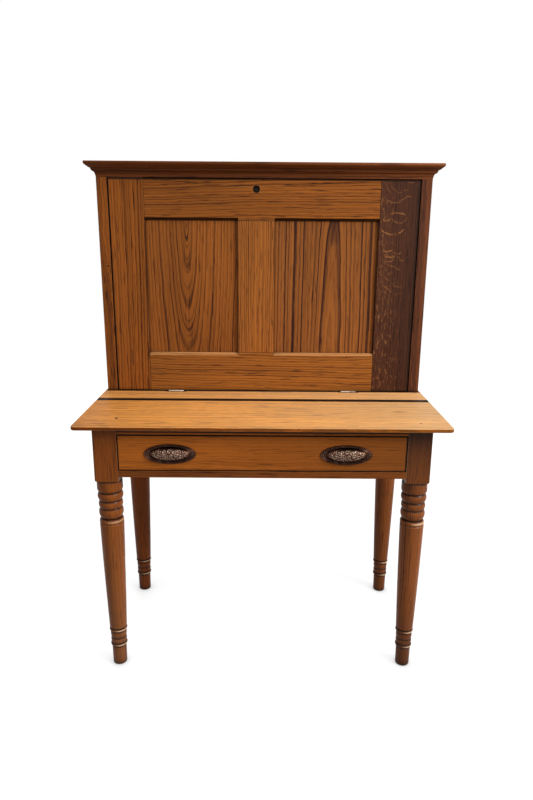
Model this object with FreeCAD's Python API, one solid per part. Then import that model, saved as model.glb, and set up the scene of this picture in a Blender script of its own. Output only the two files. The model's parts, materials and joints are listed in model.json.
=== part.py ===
import FreeCAD, Part
import math
import os

from FreeCAD import Vector

# Fall-front writing desk: a table on turned legs that carries a shallow cabinet.
# All lengths are millimetres. +X is the desk's right, +Y its back, +Z up.
# The origin lies on the floor under the middle of the table top.

# Table top: two boards with an open gap between them, a little longer than the cabinet is wide
desk_width = 952.0
top_end_overhang = 7.0
table_height = 720.0
top_thickness = 9.5
front_board_depth = 269.0
board_gap = 9.0
rear_board_depth = 262.0
top_corner_radius = 13.0
top_edge_radius = 1.5

# Legs
leg_block_width = 62.0
leg_side_overhang = 40.5
leg_front_overhang = 27.0
leg_rear_overhang = 62.5
block_drop = 14.0
shoulder_height = 7.0
shoulder_start_share = 1.22
foot_edge_radius = 4.0
turning_start_share = 1.03
# From the block down: foot of each member as a share of the turned height, then the widest radius
# of a rounded member (None for a straight one) and the radius at its foot as shares of half a block.
turning_shares = [
    (0.990, None, 1.085),
    (0.956, None, 1.095),
    (0.940, 1.060, 0.930),
    (0.896, 1.085, 0.910),
    (0.858, 1.030, 0.925),
    (0.806, 1.040, 0.830),
    (0.779, 1.030, 0.980),
    (0.775, None, 1.030),
    (0.209, 0.913, 0.756),
    (0.205, None, 0.660),
    (0.188, 0.790, 0.665),
    (0.152, 0.715, 0.660),
    (0.121, 0.705, 0.645),
    (0.104, 0.740, 0.625),
    (0.101, None, 0.640),
]
foot_radius_share = 0.621

# Table frame
upper_rail_height = 18.0
lower_rail_height = 19.0
drawer_opening_height = 98.0
apron_thickness = 20.0
apron_setback = 6.0
tenon_length = 25.0
apron_shoulder = 5.0
rail_shoulder = 3.0
runner_width = 32.0
guide_height = 20.0
glue_block_size = 18.0
glue_block_length = 60.0
glue_block_place_shares = (-0.5, 0.0, 0.5)

# Drawer
drawer_gap = 2.4
running_gap = 0.3
drawer_rear_clearance = 27.0
drawer_front_thickness = 20.0
drawer_side_thickness = 12.0
drawer_side_drop = 6.0
drawer_back_drop = 10.0
drawer_back_inset = 8.0
drawer_bottom_thickness = 8.0
drawer_bottom_lift = 8.0
drawer_groove_depth = 6.0
drawer_housing_depth = 4.0
dovetail_length = 14.0
dovetail_count = 2
dovetail_flare = 3.0
dovetail_root_share = 0.42
stop_width = 40.0
stop_depth = 14.0
stop_height = 5.0
stop_place_share = 0.55

# Cup pulls
left_pull_place_share = -0.6408
right_pull_place_share = 0.5826
pull_drop = 2.5
pull_length = 133.0
pull_height = 52.5
pull_flange_thickness = 2.0
hood_length = 108.0
hood_height = 41.0
hood_projection = 17.0
hood_wall = 1.8
hood_lip_degrees = 38.0
pull_screw_radius = 1.4
pull_screw_head_radius = 2.4
pull_screw_head_height = 1.2
pull_screw_length = 13.0

# Cabinet
cabinet_depth = 160.0
side_thickness = 30.0
cabinet_top_thickness = 18.0
head_rail_height = 23.0
head_rail_thickness = 28.0
head_rail_tenon = 12.0
back_thickness = 12.0
back_rabbet = 12.0
back_board_count = 4
back_tongue_length = 6.0
back_tongue_thickness = 4.0
back_tongue_play = 0.5
housing_depth = 8.0
shelf_thickness = 14.0
lower_space_height = 230.0
pigeonhole_height = 120.0
divider_count = 4
divider_thickness = 10.0
divider_housing = 4.0
fall_stop_gap = 0.3

# Cornice: outline as shares of its projection and of its height
cornice_projection = 27.0
lower_cove_share = (0.15, 0.34)
lower_cove_middle_share = (0.045, 0.17)
lower_quirk_share = (0.23, 0.35)
middle_bead_crest_share = (0.38, 0.45)
middle_bead_top_share = (0.44, 0.57)
upper_quirk_share = (0.56, 0.59)
nose_foot_share = (0.94, 0.79)
nose_tip_share = (1.00, 0.88)
nose_top_share = (0.97, 1.00)

# Fall
fall_height = 614.5
fall_thickness = 22.0
fall_gap = 3.0
left_stile_width = 99.0
right_stile_width = 111.0
left_stile_rise = 2.2
muntin_width = 105.0
muntin_x = -22.5
top_rail_height = 113.0
bottom_rail_height = 116.5
rail_chamfer_height = 8.0
rail_chamfer_depth = 7.0
fall_tenon_length = 60.0
muntin_tenon_length = 30.0
fall_tenon_thickness = 8.0
fall_tenon_shoulder = 12.0
panel_thickness = 7.0
panel_recess = 9.0
panel_groove_depth = 10.0
panel_play = 0.8

# Hinges
hinge_length = 46.0
left_hinge_place_share = -0.5995
right_hinge_place_share = 0.5882
knuckle_radius = 4.0
knuckle_gap = 0.3
knuckle_relief = 0.5
leaf_thickness = 1.5
leaf_depth = 20.0
open_fall_gap = 0.5
pin_radius = 1.6
pin_clearance = 0.05
hinge_screw_radius = 1.6
hinge_screw_head_radius = 3.0
hinge_screw_length = 7.0
hinge_screw_place_share = 0.30

# Lock
keyhole_radius = 10.0
keyhole_drop = 27.0
lock_width = 62.0
lock_height = 46.0
lock_thickness = 11.0
lock_wall = 2.0
nozzle_clearance = 0.2
nozzle_wall = 2.2
nozzle_sink = 5.0
key_post_radius = 1.7
key_post_length = 5.0
bolt_width = 26.0
bolt_height = 30.0
bolt_clearance = 0.3
bolt_travel = 9.0
strike_length = 64.0
strike_thickness = 2.0

# One overrun serves every cut that has to pass through a face
overrun = 5.0

# Levels and places that follow from the sizes above
half_width = desk_width / 2
top_half_width = half_width + top_end_overhang
half_block = leg_block_width / 2
top_depth = front_board_depth + board_gap + rear_board_depth
front_y = -top_depth / 2
rear_y = top_depth / 2
top_under = table_height - top_thickness
apron_height = upper_rail_height + drawer_opening_height + lower_rail_height
apron_bottom = top_under - apron_height
block_bottom = apron_bottom - block_drop
opening_bottom = apron_bottom + lower_rail_height
opening_top = opening_bottom + drawer_opening_height

leg_x = half_width - leg_side_overhang - half_block
front_leg_y = front_y + leg_front_overhang + half_block
rear_leg_y = rear_y - leg_rear_overhang - half_block
leg_inner_x = leg_x - half_block
leg_face_y = front_leg_y - half_block
leg_back_y = front_leg_y + half_block
rear_leg_face_y = rear_leg_y - half_block

side_apron_x = (leg_x + half_block - apron_setback - apron_thickness, leg_x + half_block - apron_setback)
rear_apron_y = (
    rear_leg_y + half_block - apron_setback - apron_thickness,
    rear_leg_y + half_block - apron_setback,
)

cabinet_front_y = rear_y - cabinet_depth
cabinet_inner_x = half_width - side_thickness
back_face_y = rear_y - back_thickness

hinge_axis_y = cabinet_front_y - leaf_thickness - open_fall_gap
hinge_axis_z = table_height - leaf_thickness
fall_bottom = hinge_axis_z + knuckle_radius
fall_top = fall_bottom + fall_height
fall_back_y = cabinet_front_y + fall_thickness
fall_half_width = cabinet_inner_x - fall_gap
inside_front_y = fall_back_y + fall_stop_gap
floor_top = hinge_axis_z + (fall_back_y - hinge_axis_y)

cornice_bottom = fall_top + fall_gap
cabinet_top_under = cornice_bottom + head_rail_height
cabinet_top_z = cabinet_top_under + cabinet_top_thickness
cornice_height = cabinet_top_z - cornice_bottom

lower_shelf_bottom = floor_top + lower_space_height
lower_shelf_top = lower_shelf_bottom + shelf_thickness
upper_shelf_bottom = lower_shelf_top + pigeonhole_height
upper_shelf_top = upper_shelf_bottom + shelf_thickness

drawer_half_width = leg_inner_x - drawer_gap
drawer_front_z = (opening_bottom + drawer_gap, opening_top - drawer_gap)
drawer_side_z = (opening_bottom + running_gap, drawer_front_z[1] - drawer_side_drop)
drawer_back_face_y = leg_face_y + drawer_front_thickness
drawer_end_y = rear_apron_y[0] - drawer_rear_clearance
drawer_bottom_z = (
    drawer_side_z[0] + drawer_bottom_lift,
    drawer_side_z[0] + drawer_bottom_lift + drawer_bottom_thickness,
)

pieces = {}


def board(x_span, y_span, z_span):
    """A straight board between three (low, high) spans."""
    corner = Vector(x_span[0], y_span[0], z_span[0])
    return Part.makeBox(x_span[1] - x_span[0], y_span[1] - y_span[0], z_span[1] - z_span[0], corner)


def centred(middle, width):
    """A span of a width about its middle."""
    return (middle - width / 2, middle + width / 2)


def grown(span, amount):
    """A span made longer at both ends."""
    return (span[0] - amount, span[1] + amount)


def mirrored(shape):
    """The same piece on the other side of the desk."""
    return shape.mirror(Vector(0, 0, 0), Vector(1, 0, 0))


def line(start, end):
    return Part.LineSegment(start, end).toShape()


def arc(start, middle, end):
    return Part.Arc(start, middle, end).toShape()


def cylinder_x(radius, x_span, y, z):
    """A round bar along X."""
    return Part.makeCylinder(radius, x_span[1] - x_span[0], Vector(x_span[0], y, z), Vector(1, 0, 0))


def prism(points, travel):
    """A closed outline pushed along a vector."""
    return Part.Face(Part.makePolygon(points + [points[0]])).extrude(travel)


def is_edge(edge, axis, level_tests):
    """Whether a straight edge runs along one axis and passes the tests on its middle point."""
    box = edge.BoundBox
    lengths = {"x": box.XLength, "y": box.YLength, "z": box.ZLength}
    runs_along = lengths[axis] > sum(lengths.values()) / 2
    return runs_along and all(test(edge.CenterOfMass) for test in level_tests)


def turned_profile():
    """The turning's outline from the block down to the floor, as edges in the XZ plane."""
    edges = []
    here = Vector(half_block * turning_start_share, 0, block_bottom)
    edges.append(line(Vector(0, 0, block_bottom), here))
    for foot_share, crest_share, foot_radius_share_here in turning_shares:
        foot = Vector(half_block * foot_radius_share_here, 0, block_bottom * foot_share)
        if crest_share is None:
            edges.append(line(here, foot))
        else:
            crest = Vector(half_block * crest_share, 0, (here.z + foot.z) / 2)
            edges.append(arc(here, crest, foot))
        here = foot
    foot_radius = half_block * foot_radius_share
    foot_low = Vector(foot_radius, 0, foot_edge_radius)
    edges.append(line(here, foot_low))
    turn = foot_edge_radius * math.sqrt(0.5)
    round_middle = Vector(foot_radius - foot_edge_radius + turn, 0, foot_edge_radius - turn)
    round_end = Vector(foot_radius - foot_edge_radius, 0, 0)
    edges.append(arc(foot_low, round_middle, round_end))
    edges.append(line(round_end, Vector(0, 0, 0)))
    edges.append(line(Vector(0, 0, 0), Vector(0, 0, block_bottom)))
    return edges


def rounded_shoulder():
    """The round space that the block's lower corners are turned to, up past the block's top."""
    start = Vector(half_block * shoulder_start_share, 0, block_bottom)
    reach = half_block * math.sqrt(2)
    end = Vector(reach, 0, block_bottom + shoulder_height)
    middle = start + Vector((reach - start.x) * math.sqrt(0.5), 0, shoulder_height * (1 - math.sqrt(0.5)))
    wide = Vector(reach + overrun, 0, end.z)
    edges = [
        line(Vector(0, 0, block_bottom), start),
        arc(start, middle, end),
        line(end, wide),
        line(wide, Vector(wide.x, 0, top_under)),
        line(Vector(wide.x, 0, top_under), Vector(0, 0, top_under)),
        line(Vector(0, 0, top_under), Vector(0, 0, block_bottom)),
    ]
    return Part.Face(Part.Wire(edges)).revolve(Vector(0, 0, 0), Vector(0, 0, 1), 360)


def turned_leg():
    """One leg on the Z axis: the square block, its lower corners rounded off, on its turning."""
    face = Part.Face(Part.Wire(turned_profile()))
    turning = face.revolve(Vector(0, 0, 0), Vector(0, 0, 1), 360)
    block = board(centred(0, leg_block_width), centred(0, leg_block_width), (block_bottom, top_under))
    return block.common(rounded_shoulder()).fuse(turning).removeSplitter()


def rail_with_tenons(x_half, y_span, z_span, shoulder):
    """A rail across the desk with a tenon at each end."""
    rail = board((-x_half, x_half), y_span, z_span)
    tenon_x = grown((-x_half, x_half), tenon_length)
    tenon = board(tenon_x, grown(y_span, -shoulder), grown(z_span, -shoulder))
    return rail.fuse(tenon).removeSplitter()


def build_table_frame():
    """Rails, aprons and the legs that their tenons go into."""
    apron_z = (apron_bottom, top_under)
    rail_y = (leg_face_y, leg_back_y)
    upper_rail = rail_with_tenons(leg_inner_x, rail_y, (opening_top, top_under), rail_shoulder)
    lower_rail = rail_with_tenons(leg_inner_x, rail_y, (apron_bottom, opening_bottom), rail_shoulder)
    rear_apron = rail_with_tenons(leg_inner_x, rear_apron_y, apron_z, apron_shoulder)
    side_apron = board(side_apron_x, (leg_back_y, rear_leg_face_y), apron_z)
    side_tenon_y = grown((leg_back_y, rear_leg_face_y), tenon_length)
    side_tenon = board(grown(side_apron_x, -apron_shoulder), side_tenon_y, grown(apron_z, -apron_shoulder))
    right_apron = side_apron.fuse(side_tenon).removeSplitter()
    left_apron = mirrored(right_apron)

    pieces["upper_front_rail"] = upper_rail
    pieces["lower_front_rail"] = lower_rail
    pieces["left_apron"] = left_apron
    pieces["right_apron"] = right_apron
    pieces["rear_apron"] = rear_apron

    front_rails = [upper_rail, lower_rail]
    for side, x, apron in (("left", -leg_x, left_apron), ("right", leg_x, right_apron)):
        for end, y, rails in (("front", front_leg_y, front_rails), ("rear", rear_leg_y, [rear_apron])):
            leg = turned_leg()
            leg.translate(Vector(x, y, 0))
            pieces[end + "_" + side + "_leg"] = leg.cut(rails + [apron])


def build_drawer_supports():
    """Runners with their guides, kickers, stops and glue blocks inside the frame."""
    between_legs = (leg_back_y, rear_leg_face_y)
    runner_x = (leg_inner_x - runner_width, side_apron_x[0])
    guide_z = (opening_bottom, opening_bottom + guide_height)
    runner = board(runner_x, between_legs, (apron_bottom, opening_bottom))
    guide = board((leg_inner_x, side_apron_x[0]), between_legs, guide_z)
    right_runner = runner.fuse(guide).removeSplitter()
    pieces["right_drawer_runner"] = right_runner
    pieces["left_drawer_runner"] = mirrored(right_runner)

    kicker_z = (drawer_side_z[1] + running_gap, top_under)
    right_kicker = board(runner_x, between_legs, kicker_z)
    pieces["drawer_kickers"] = Part.makeCompound([mirrored(right_kicker), right_kicker])

    stop_y = (drawer_back_face_y + running_gap, drawer_back_face_y + running_gap + stop_depth)
    stop_z = (opening_bottom, opening_bottom + stop_height)
    right_stop = board(centred(leg_inner_x * stop_place_share, stop_width), stop_y, stop_z)
    pieces["drawer_stops"] = Part.makeCompound([mirrored(right_stop), right_stop])

    blocks = []
    for share in glue_block_place_shares:
        x = leg_inner_x * share - glue_block_length / 2
        corner = Vector(x, rear_apron_y[0], top_under)
        outline = [
            corner,
            corner - Vector(0, glue_block_size, 0),
            corner - Vector(0, 0, glue_block_size),
        ]
        blocks.append(prism(outline, Vector(glue_block_length, 0, 0)))
    pieces["top_glue_blocks"] = Part.makeCompound(blocks)


def rounded_board(y_span, has_front_edge):
    """A table top board, rounded along its outer edges."""
    shape = board((-top_half_width, top_half_width), y_span, (top_under, table_height))

    def at_front(point):
        return abs(point.y - y_span[0]) < top_edge_radius

    def at_side(point):
        return abs(point.x) > top_half_width - top_edge_radius

    if has_front_edge:
        corners = [e for e in shape.Edges if is_edge(e, "z", [at_front])]
        shape = shape.makeFillet(top_corner_radius, corners)
    outer = [e for e in shape.Edges if is_edge(e, "y", [at_side])]
    if has_front_edge:
        outer += [e for e in shape.Edges if is_edge(e, "x", [at_front])]
        outer += [e for e in shape.Edges if not isinstance(e.Curve, Part.Line)]
    return shape.makeFillet(top_edge_radius, outer)


def build_table_top():
    """The front and rear boards with the open gap between them."""
    front_span = (front_y, front_y + front_board_depth)
    rear_span = (rear_y - rear_board_depth, rear_y)
    pieces["front_top_board"] = rounded_board(front_span, True)
    pieces["rear_top_board"] = rounded_board(rear_span, False)


def dovetail_tails():
    """The tails on the front end of the right drawer side."""
    z_low, z_high = drawer_side_z
    pitch = (z_high - z_low) / dovetail_count
    root_half = pitch * dovetail_root_share / 2
    tip_half = root_half + dovetail_flare
    y_root = drawer_back_face_y
    y_tip = drawer_back_face_y - dovetail_length
    x = drawer_half_width - drawer_side_thickness
    tails = []
    for number in range(dovetail_count):
        middle = z_low + pitch * (number + 1 / 2)
        outline = [
            Vector(x, y_root, middle - root_half),
            Vector(x, y_tip, middle - tip_half),
            Vector(x, y_tip, middle + tip_half),
            Vector(x, y_root, middle + root_half),
        ]
        tails.append(prism(outline, Vector(drawer_side_thickness, 0, 0)))
    return tails


def build_drawer():
    """The drawer: dovetailed front, sides, back and a bottom that slides in under the back."""
    side_x = (drawer_half_width - drawer_side_thickness, drawer_half_width)
    bottom_half = side_x[0] + drawer_groove_depth
    bottom_y = (drawer_back_face_y - drawer_groove_depth, drawer_end_y)
    bottom = board((-bottom_half, bottom_half), bottom_y, drawer_bottom_z)

    back_y = (drawer_end_y - drawer_back_inset - drawer_side_thickness, drawer_end_y - drawer_back_inset)
    back_half = side_x[0] + drawer_housing_depth
    back_z = (drawer_bottom_z[1], drawer_side_z[1] - drawer_back_drop)
    back = board((-back_half, back_half), back_y, back_z)

    right_side = board(side_x, (drawer_back_face_y, drawer_end_y), drawer_side_z).fuse(dovetail_tails())
    right_side = right_side.removeSplitter().cut([bottom, back])
    left_side = mirrored(right_side)

    front_y_span = (leg_face_y, drawer_back_face_y)
    front = board((-drawer_half_width, drawer_half_width), front_y_span, drawer_front_z)
    front = front.cut([left_side, right_side, bottom])

    pieces["drawer_front"] = front
    pieces["drawer_left_side"] = left_side
    pieces["drawer_right_side"] = right_side
    pieces["drawer_back"] = back
    pieces["drawer_bottom"] = bottom


def ellipse(length, height, thickness):
    """A flat ellipse in the XZ plane, standing forward of its back face."""
    outline = Part.Ellipse(Vector(0, 0, 0), length / 2, height / 2).toShape()
    outline.rotate(Vector(0, 0, 0), Vector(1, 0, 0), 90)
    return Part.Face(Part.Wire([outline])).extrude(Vector(0, -thickness, 0))


def lens(length, height, thickness):
    """A flat lens of two arcs in the XZ plane, standing forward of its back face."""
    left = Vector(-length / 2, 0, 0)
    right = Vector(length / 2, 0, 0)
    upper = arc(left, Vector(0, 0, height / 2), right)
    lower = arc(right, Vector(0, 0, -height / 2), left)
    return Part.Face(Part.Wire([upper, lower])).extrude(Vector(0, -thickness, 0))


def hood_shell():
    """The pull's hood: a crescent swept about an axis behind the drawer face, from its top to its lip."""
    half_height = hood_height / 2
    axis_back = (half_height ** 2 - hood_projection ** 2) / (2 * hood_projection)
    reach = hood_projection + axis_back
    outer_end = hood_length / 2
    inner_end = outer_end - hood_wall
    edges = [
        arc(Vector(-outer_end, 0, axis_back), Vector(0, 0, reach), Vector(outer_end, 0, axis_back)),
        line(Vector(outer_end, 0, axis_back), Vector(inner_end, 0, axis_back)),
        arc(
            Vector(inner_end, 0, axis_back),
            Vector(0, 0, reach - hood_wall),
            Vector(-inner_end, 0, axis_back),
        ),
        line(Vector(-inner_end, 0, axis_back), Vector(-outer_end, 0, axis_back)),
    ]
    crescent = Part.Face(Part.Wire(edges))
    shell = crescent.revolve(Vector(0, 0, 0), Vector(1, 0, 0), 90 + hood_lip_degrees)
    shell.translate(Vector(0, axis_back, 0))
    return shell.common(board(centred(0, hood_length), (-reach, 0), (-reach, reach)))


def cup_pull():
    """A hooded pull on an oval flange, open below, with its back on the XZ plane."""
    flange = ellipse(pull_length, pull_height, pull_flange_thickness)
    window = lens(hood_length - 2 * hood_wall, hood_height - 2 * hood_wall, pull_flange_thickness)
    return flange.cut(window).fuse(hood_shell()).removeSplitter()


def round_head_screw(shank_radius, head_radius, head_height, length):
    """A screw along +Y whose domed head stands forward of the XZ plane."""
    dome_radius = (head_radius ** 2 + head_height ** 2) / (2 * head_height)
    half_angle = math.asin(head_radius / dome_radius) / 2
    dome_rise = dome_radius * (1 - math.cos(half_angle))
    dome_middle = Vector(dome_radius * math.sin(half_angle), dome_rise - head_height, 0)
    rim = Vector(head_radius, 0, 0)
    crown = Vector(0, -head_height, 0)
    shank_top = Vector(shank_radius, 0, 0)
    shank_end = Vector(shank_radius, length, 0)
    tip = Vector(0, length, 0)
    edges = [
        arc(crown, dome_middle, rim),
        line(rim, shank_top),
        line(shank_top, shank_end),
        line(shank_end, tip),
        line(tip, crown),
    ]
    return Part.Face(Part.Wire(edges)).revolve(Vector(0, 0, 0), Vector(0, 1, 0), 360)


def build_pulls():
    """Both cup pulls and the screws through their ends."""
    middle_z = (drawer_front_z[0] + drawer_front_z[1]) / 2 - pull_drop
    screw_offset = (hood_length + pull_length) / 4
    screws = []
    for name, share in (("left_pull", left_pull_place_share), ("right_pull", right_pull_place_share)):
        x = drawer_half_width * share
        pull = cup_pull()
        pull.translate(Vector(x, leg_face_y, middle_z))
        for offset in (-screw_offset, screw_offset):
            screw = round_head_screw(
                pull_screw_radius,
                pull_screw_head_radius,
                pull_screw_head_height,
                pull_flange_thickness + pull_screw_length,
            )
            screw.translate(Vector(x + offset, leg_face_y - pull_flange_thickness, middle_z))
            screws.append(screw)
        pieces[name] = pull.cut(screws)
    pieces["pull_screws"] = Part.makeCompound(screws)
    pieces["drawer_front"] = pieces["drawer_front"].cut(screws)


def build_cabinet():
    """Sides, floor, shelves, dividers, head rail, top and back boards."""
    housed_half = cabinet_inner_x + housing_depth
    inside_y = (inside_front_y, back_face_y)
    floor = board((-cabinet_inner_x, cabinet_inner_x), inside_y, (table_height, floor_top))
    lower_shelf = board((-housed_half, housed_half), inside_y, (lower_shelf_bottom, lower_shelf_top))
    upper_shelf = board((-housed_half, housed_half), inside_y, (upper_shelf_bottom, upper_shelf_top))

    dividers = []
    hole_width = (2 * cabinet_inner_x - divider_count * divider_thickness) / (divider_count + 1)
    divider_z = grown((lower_shelf_top, upper_shelf_bottom), divider_housing)
    for number in range(divider_count):
        x = -cabinet_inner_x + hole_width + number * (hole_width + divider_thickness)
        divider = board((x, x + divider_thickness), inside_y, divider_z)
        dividers.append(divider)
        pieces["pigeonhole_divider_" + str(number + 1)] = divider

    head_rail_y = (cabinet_front_y, cabinet_front_y + head_rail_thickness)
    head_z = (cornice_bottom, cabinet_top_under)
    head_rail = board((-cabinet_inner_x, cabinet_inner_x), head_rail_y, head_z)
    head_tenon = board(
        grown((-cabinet_inner_x, cabinet_inner_x), head_rail_tenon),
        grown(head_rail_y, -rail_shoulder),
        grown(head_z, -rail_shoulder),
    )
    head_rail = head_rail.fuse(head_tenon).removeSplitter()

    side_z = (table_height, cabinet_top_under)
    side = board((cabinet_inner_x, half_width), (cabinet_front_y, rear_y), side_z)
    rabbet_x = (cabinet_inner_x - overrun, cabinet_inner_x + back_rabbet)
    rabbet = board(rabbet_x, (back_face_y, rear_y + overrun), grown(side_z, overrun))
    right_side = side.cut([rabbet, lower_shelf, upper_shelf, head_rail])
    top = board((-half_width, half_width), (cabinet_front_y, rear_y), (cabinet_top_under, cabinet_top_z))

    pieces["left_cabinet_side"] = mirrored(right_side)
    pieces["right_cabinet_side"] = right_side
    pieces["cabinet_floor"] = floor
    pieces["lower_shelf"] = lower_shelf.cut(dividers)
    pieces["upper_shelf"] = upper_shelf.cut(dividers)
    pieces["head_rail"] = head_rail
    pieces["cabinet_top"] = top


def build_back():
    """Upright back boards, tongued on their right edges and grooved on their left."""
    half = cabinet_inner_x + back_rabbet
    width = 2 * half / back_board_count
    z_span = (table_height, cabinet_top_under)
    tongue_y = centred(back_face_y + back_thickness / 2, back_tongue_thickness)
    for number in range(back_board_count):
        x = -half + number * width
        plank = board((x, x + width), (back_face_y, rear_y), z_span)
        if number > 0:
            groove_x = (x - overrun, x + back_tongue_length + back_tongue_play)
            plank = plank.cut(board(groove_x, tongue_y, grown(z_span, overrun)))
        if number < back_board_count - 1:
            tongue = board((x + width, x + width + back_tongue_length), tongue_y, z_span)
            plank = plank.fuse(tongue).removeSplitter()
        pieces["back_board_" + str(number + 1)] = plank


def cornice_point(share):
    """A point of the cornice's outline: how far it stands out, and its height."""
    return (cornice_projection * share[0], cornice_bottom + cornice_height * share[1])


def cornice_section(place):
    """The cornice's cross-section as a face; place turns (out, height) into a point."""

    def at(share):
        return place(*cornice_point(share))

    foot = place(0, cornice_bottom)
    top = place(0, cabinet_top_z)
    edges = [
        arc(foot, at(lower_cove_middle_share), at(lower_cove_share)),
        line(at(lower_cove_share), at(lower_quirk_share)),
        arc(at(lower_quirk_share), at(middle_bead_crest_share), at(middle_bead_top_share)),
        line(at(middle_bead_top_share), at(upper_quirk_share)),
        line(at(upper_quirk_share), at(nose_foot_share)),
        arc(at(nose_foot_share), at(nose_tip_share), at(nose_top_share)),
        line(at(nose_top_share), top),
        line(top, foot),
    ]
    return Part.Face(Part.Wire(edges))


def build_cornice():
    """Three lengths of moulding, mitred at the front corners."""
    reach = cornice_projection + overrun
    tip_x = half_width + reach
    tip_y = cabinet_front_y - reach
    rise = Vector(0, 0, cornice_height)

    front_start = -tip_x
    front = cornice_section(lambda out, z: Vector(front_start, cabinet_front_y - out, z))
    front = front.extrude(Vector(2 * tip_x, 0, 0))
    front_plan = prism(
        [
            Vector(-half_width, cabinet_front_y, cornice_bottom),
            Vector(half_width, cabinet_front_y, cornice_bottom),
            Vector(tip_x, tip_y, cornice_bottom),
            Vector(-tip_x, tip_y, cornice_bottom),
        ],
        rise,
    )
    side = cornice_section(lambda out, z: Vector(half_width + out, tip_y, z))
    side = side.extrude(Vector(0, rear_y - tip_y, 0))
    side_plan = prism(
        [
            Vector(half_width, cabinet_front_y, cornice_bottom),
            Vector(half_width, rear_y, cornice_bottom),
            Vector(tip_x, rear_y, cornice_bottom),
            Vector(tip_x, tip_y, cornice_bottom),
        ],
        rise,
    )
    right = side.common(side_plan)
    pieces["front_cornice"] = front.common(front_plan)
    pieces["right_cornice"] = right
    pieces["left_cornice"] = mirrored(right)


def rail_chamfer(x_span, edge_z, rise):
    """The corner cut off a rail's front edge beside a panel; rise runs from the edge into the rail."""
    edge = Vector(x_span[0], cabinet_front_y, edge_z)
    outline = [edge, edge + Vector(0, 0, rise), edge + Vector(0, rail_chamfer_depth, 0)]
    return prism(outline, Vector(x_span[1] - x_span[0], 0, 0))


def build_fall():
    """The framed fall: stiles, rails and muntin with tenons, and two panels in grooves."""
    door_y = (cabinet_front_y, fall_back_y)
    left_inner = -fall_half_width + left_stile_width
    right_inner = fall_half_width - right_stile_width
    muntin_span = centred(muntin_x, muntin_width)
    top_z = (fall_top - top_rail_height, fall_top)
    bottom_z = (fall_bottom, fall_bottom + bottom_rail_height)
    tenon_y = centred((door_y[0] + door_y[1]) / 2, fall_tenon_thickness)
    tenon_x = grown((left_inner, right_inner), fall_tenon_length)
    panel_y = (cabinet_front_y + panel_recess, cabinet_front_y + panel_recess + panel_thickness)
    opening_z = (bottom_z[1], top_z[0])

    rails = {}
    for name, z_span in (("fall_top_rail", top_z), ("fall_bottom_rail", bottom_z)):
        tenon = board(tenon_x, tenon_y, grown(z_span, -fall_tenon_shoulder))
        rails[name] = board((left_inner, right_inner), door_y, z_span).fuse(tenon).removeSplitter()

    muntin = board(muntin_span, door_y, opening_z)
    muntin_tenon = board(
        grown(muntin_span, -fall_tenon_shoulder),
        tenon_y,
        grown(opening_z, muntin_tenon_length),
    )
    muntin = muntin.fuse(muntin_tenon).removeSplitter()

    grooves = []
    chamfers = []
    panel_seat = panel_groove_depth - panel_play
    openings = {
        "fall_left_panel": (left_inner, muntin_span[0]),
        "fall_right_panel": (muntin_span[1], right_inner),
    }
    for name, x_span in openings.items():
        groove_z = grown(opening_z, panel_groove_depth)
        grooves.append(board(grown(x_span, panel_groove_depth), panel_y, groove_z))
        chamfers.append(rail_chamfer(x_span, opening_z[1], rail_chamfer_height))
        chamfers.append(rail_chamfer(x_span, opening_z[0], -rail_chamfer_height))
        pieces[name] = board(grown(x_span, panel_seat), panel_y, grown(opening_z, panel_seat))

    left_stile = board((-fall_half_width, left_inner), door_y, (fall_bottom, fall_top + left_stile_rise))
    right_stile = board((right_inner, fall_half_width), door_y, (fall_bottom, fall_top))
    rail_list = list(rails.values())
    pieces["fall_left_stile"] = left_stile.cut(rail_list + grooves)
    pieces["fall_right_stile"] = right_stile.cut(rail_list + grooves)
    pieces["fall_muntin"] = muntin.cut(grooves)
    for name, rail in rails.items():
        pieces[name] = rail.cut([muntin] + grooves + chamfers)


def flat_head_screw(up):
    """A countersunk screw from the leaf's outer face into the wood, along +Z or -Z from the origin."""
    direction = Vector(0, 0, 1 if up else -1)
    start = Vector(0, 0, 0)
    head = Part.makeCone(hinge_screw_head_radius, hinge_screw_radius, leaf_thickness, start, direction)
    shank = Part.makeCylinder(hinge_screw_radius, hinge_screw_length, start, direction)
    return head.fuse(shank).removeSplitter()


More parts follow.
